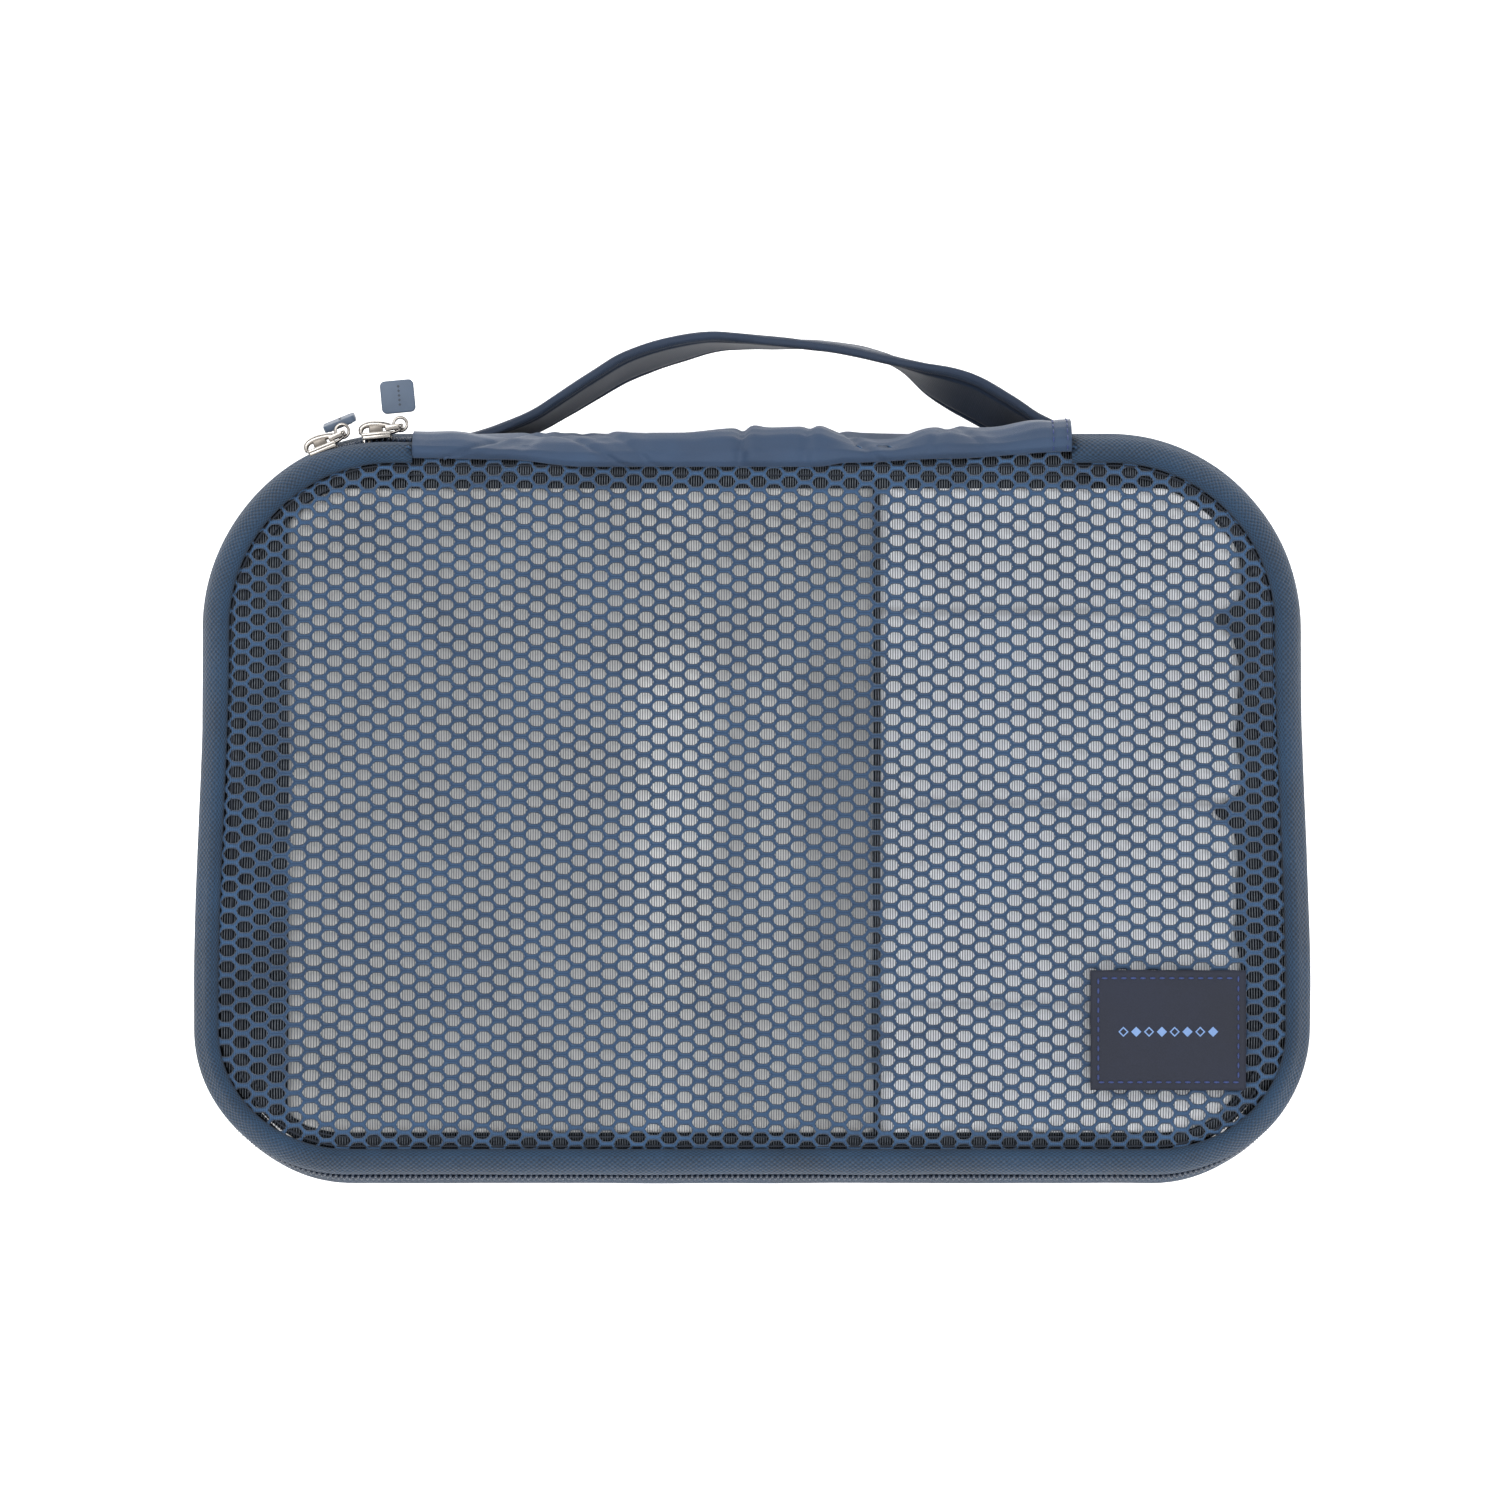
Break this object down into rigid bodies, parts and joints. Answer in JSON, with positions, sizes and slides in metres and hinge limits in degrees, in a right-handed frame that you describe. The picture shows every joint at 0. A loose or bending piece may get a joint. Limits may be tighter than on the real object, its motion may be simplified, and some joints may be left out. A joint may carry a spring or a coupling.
{
  "type": "packing cube",
  "caption": "Zipped travel packing cube with a see-through mesh lid, a sewn grab handle and two zip sliders that part round the case.",
  "frame": {"origin": "middle of the back panel's resting face", "axes": "+X along the case's length, +Y across it towards the handle, +Z out of the mesh lid"},
  "size_m": [0.28, 0.2149, 0.0619],
  "materials": {
    "navy_nylon": "woven, satin",
    "blue_nylon": "woven, satin",
    "zip_tape": "knitted, matte",
    "zip_coil": "satin",
    "mesh_knit": "knitted, matte",
    "mesh_lining": "ribbed, matte",
    "seam_binding": "woven, matte",
    "filler_sheet": "smooth, matte",
    "label_cloth": "woven, matte",
    "label_thread": "thread, satin",
    "nickel": "bright plated",
    "pull_rubber": "matte"
  },
  "bodies": {
    "case": {"back_panel": "navy_nylon", "gusset_wall": "navy_nylon", "back_seam_binding": "seam_binding", "lower_zip_tape": "zip_tape", "lower_zip_coil": "zip_coil", "left_end_zip_tape": "zip_tape", "left_end_zip_coil": "zip_coil", "right_end_zip_tape": "zip_tape", "right_end_zip_coil": "zip_coil", "hinge_panel": "blue_nylon", "filler_sheet_left": "filler_sheet", "filler_sheet_right": "filler_sheet", "handle_anchor_left": "navy_nylon", "handle_anchor_right": "navy_nylon"},
    "lid": {"upper_zip_tape": "zip_tape", "upper_zip_coil": "zip_coil", "mesh_face": "mesh_knit", "mesh_backing": "mesh_lining", "lid_seam_binding": "seam_binding", "label_patch": "label_cloth", "label_stitching": "label_thread"},
    "handle": {"handle_strap": "navy_nylon"},
    "slider_a": {"slider_a_body": "nickel", "slider_a_cap": "nickel"},
    "ring_a": {"slider_a_ring": "nickel"},
    "pull_a": {"slider_a_pull": "pull_rubber"},
    "slider_b": {"slider_b_body": "nickel", "slider_b_cap": "nickel"},
    "ring_b": {"slider_b_ring": "nickel"},
    "pull_b": {"slider_b_pull": "pull_rubber"}
  },
  "joints": [
    {"name": "lid_fold", "type": "hinge", "parent": "case", "child": "lid", "pos_m": [0, 0.0866, 0.0603], "axis": [-1, 0, 0], "range_deg": [0, 180]},
    {"name": "handle_tilt", "type": "hinge", "parent": "case", "child": "handle", "pos_m": [0.004, 0.0968, 0.0215], "axis": [1, 0, 0], "range_deg": [-30, 30]},
    {"name": "slider_a_run", "type": "hinge", "parent": "case", "child": "slider_a", "pos_m": [-0.09, 0.045, 0.04575], "axis": [0, 0, 1], "range_deg": [0, 67]},
    {"name": "ring_a_swing", "type": "hinge", "parent": "slider_a", "child": "ring_a", "pos_m": [-0.10319, 0.09392, 0.04575], "axis": [0, 0, 1], "range_deg": [-25, 25]},
    {"name": "pull_a_flop", "type": "hinge", "parent": "ring_a", "child": "pull_a", "pos_m": [-0.10403, 0.09601, 0.04575], "axis": [0.9272, 0.3746, 0], "range_deg": [0, 160]},
    {"name": "slider_b_run", "type": "hinge", "parent": "case", "child": "slider_b", "pos_m": [-0.09, 0.045, 0.04575], "axis": [0, 0, 1], "range_deg": [0, 1.4]},
    {"name": "ring_b_swing", "type": "hinge", "parent": "slider_b", "child": "ring_b", "pos_m": [-0.08866, 0.09565, 0.04575], "axis": [0, 0, 1], "range_deg": [-25, 25]},
    {"name": "pull_b_flop", "type": "hinge", "parent": "ring_b", "child": "pull_b", "pos_m": [-0.08887, 0.09789, 0.04575], "axis": [0.9956, 0.0941, 0], "range_deg": [-80, 80]}
  ]
}
